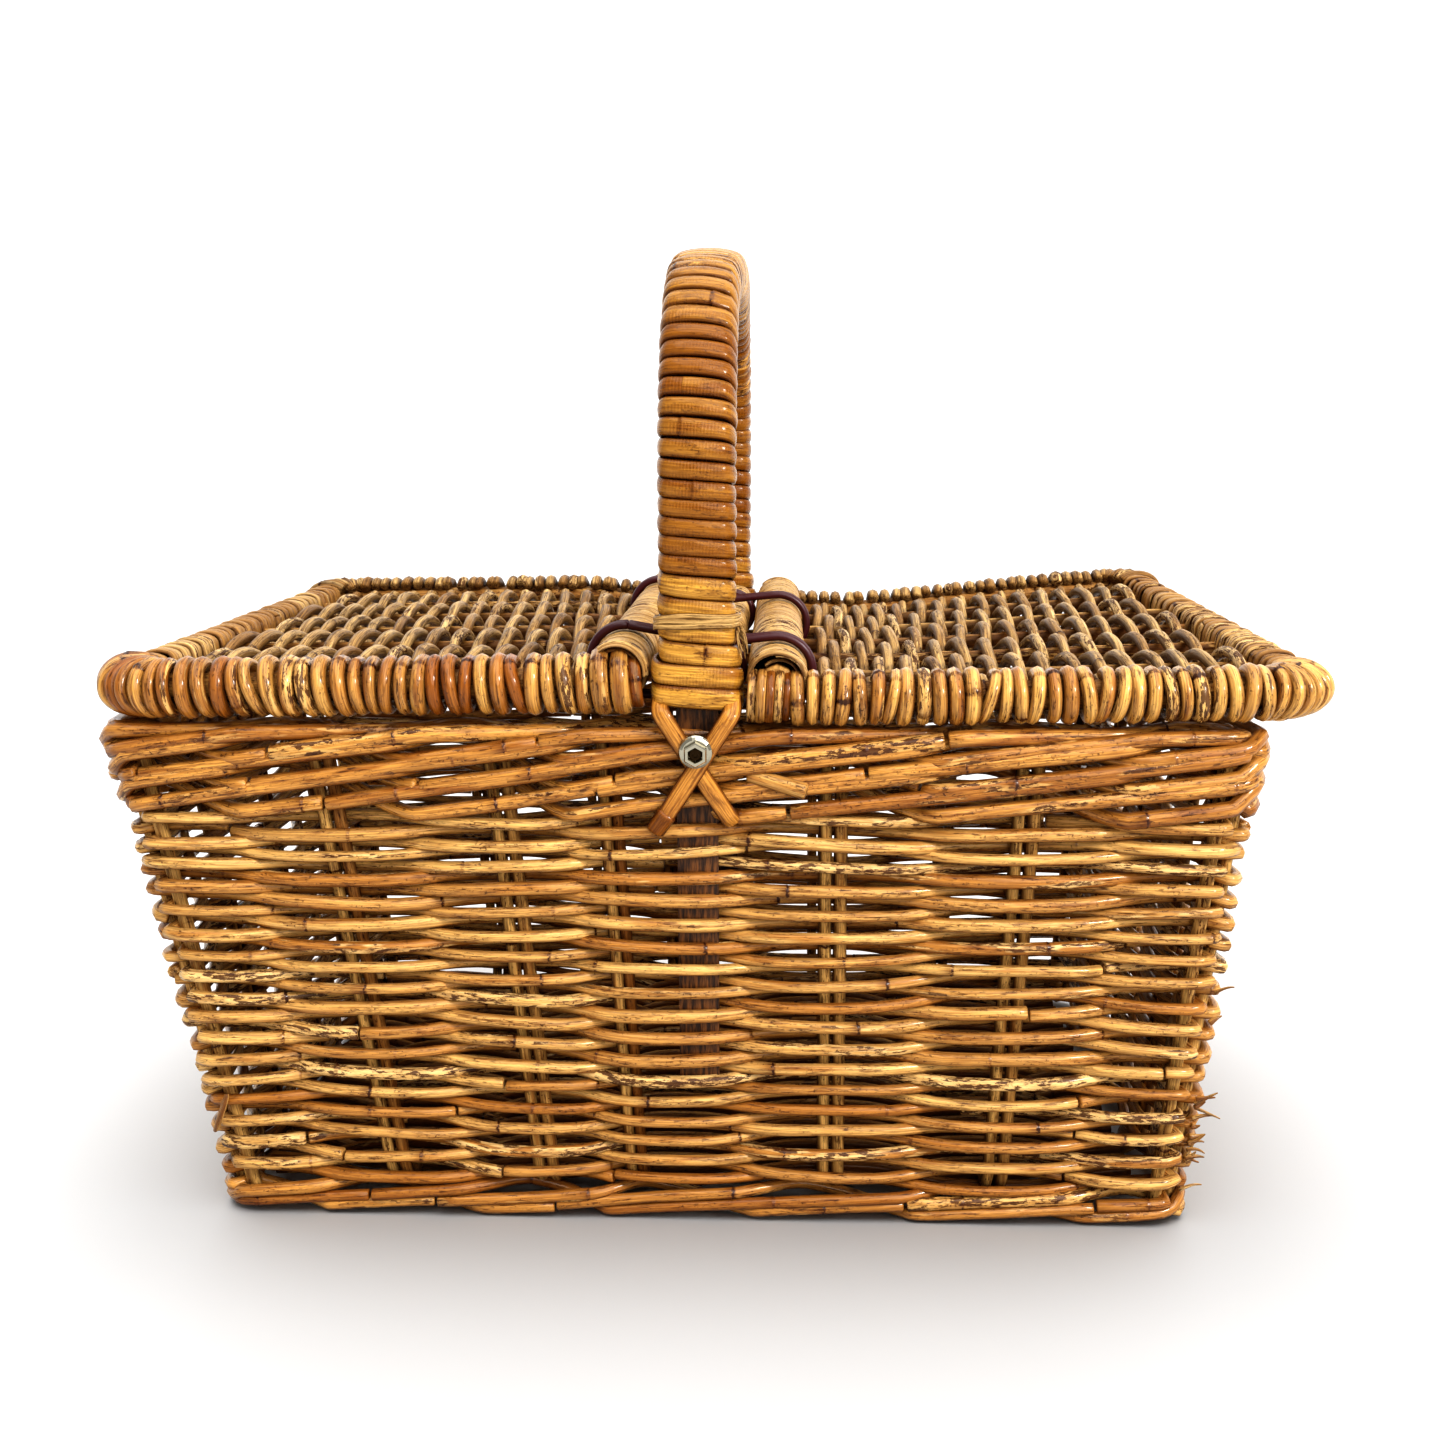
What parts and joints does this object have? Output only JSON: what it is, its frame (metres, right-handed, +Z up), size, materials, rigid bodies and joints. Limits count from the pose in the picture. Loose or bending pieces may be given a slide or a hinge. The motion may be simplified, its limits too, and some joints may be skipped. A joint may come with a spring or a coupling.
{
  "type": "picnic basket",
  "caption": "Tapered rectangular picnic basket woven from round cane, with a fixed arched handle wrapped in half-round cane and a hinged lid on each side of it.",
  "frame": {"origin": "on the floor, below the centre of the whole basket", "axes": "+Z up, X along the long side with the left lid at -X, Y along the depth with the front at -Y"},
  "size_m": [0.475, 0.3368, 0.402],
  "materials": {
    "wall_cane": "varnished round cane",
    "border_cane": "varnished thick cane",
    "stake_cane": "satin cane",
    "handle_cane": "glossy half-round cane",
    "handle_wood": "dry split cane",
    "lid_cane": "weathered round cane",
    "flat_cane": "matt flat cane",
    "dark_band": "dyed dark red cane, satin",
    "zinc_steel": "bright zinc plate"
  },
  "bodies": {
    "basket": {"base_mat": "wall_cane", "foot_border": "border_cane", "front_wall": "wall_cane", "back_wall": "wall_cane", "left_wall": "wall_cane", "right_wall": "wall_cane", "rim_border": "border_cane", "cross_stake_1": "stake_cane", "cross_stake_2": "stake_cane", "cross_stake_3": "stake_cane", "cross_stake_4": "stake_cane", "cross_stake_5": "stake_cane", "long_stake_1": "stake_cane", "long_stake_2": "stake_cane", "long_stake_3": "stake_cane", "corner_stake_front_left": "stake_cane", "corner_stake_front_right": "stake_cane", "corner_stake_back_left": "stake_cane", "corner_stake_back_right": "stake_cane", "handle_core": "handle_wood", "handle_wrap": "handle_cane", "front_bolt": "zinc_steel", "front_flange_nut": "zinc_steel", "front_lashing_under": "handle_cane", "front_lashing_over": "handle_cane", "back_bolt": "zinc_steel", "back_flange_nut": "zinc_steel", "back_lashing_under": "handle_cane", "back_lashing_over": "handle_cane", "centre_bar": "stake_cane", "centre_bar_wrap": "flat_cane", "left_hinge_band_1": "dark_band", "left_hinge_band_2": "dark_band", "right_hinge_band_1": "dark_band", "right_hinge_band_2": "dark_band"},
    "left_lid": {"left_lid_hinge_rod": "stake_cane", "left_lid_hinge_wrap": "flat_cane", "left_lid_frame": "stake_cane", "left_lid_side_wrap": "flat_cane", "left_lid_spoke_1": "stake_cane", "left_lid_spoke_2": "stake_cane", "left_lid_spoke_3": "stake_cane", "left_lid_spoke_4": "stake_cane", "left_lid_spoke_5": "stake_cane", "left_lid_weave": "lid_cane"},
    "right_lid": {"right_lid_hinge_rod": "stake_cane", "right_lid_hinge_wrap": "flat_cane", "right_lid_frame": "stake_cane", "right_lid_side_wrap": "flat_cane", "right_lid_spoke_1": "stake_cane", "right_lid_spoke_2": "stake_cane", "right_lid_spoke_3": "stake_cane", "right_lid_spoke_4": "stake_cane", "right_lid_spoke_5": "stake_cane", "right_lid_weave": "lid_cane"}
  },
  "joints": [
    {"name": "left_lid_hinge", "type": "hinge", "parent": "basket", "child": "left_lid", "pos_m": [-0.0305, 0, 0.2325], "axis": [0, 1, 0], "range_deg": [0, 92]},
    {"name": "right_lid_hinge", "type": "hinge", "parent": "basket", "child": "right_lid", "pos_m": [0.0305, 0, 0.2295], "axis": [0, -1, 0], "range_deg": [0, 91]}
  ]
}
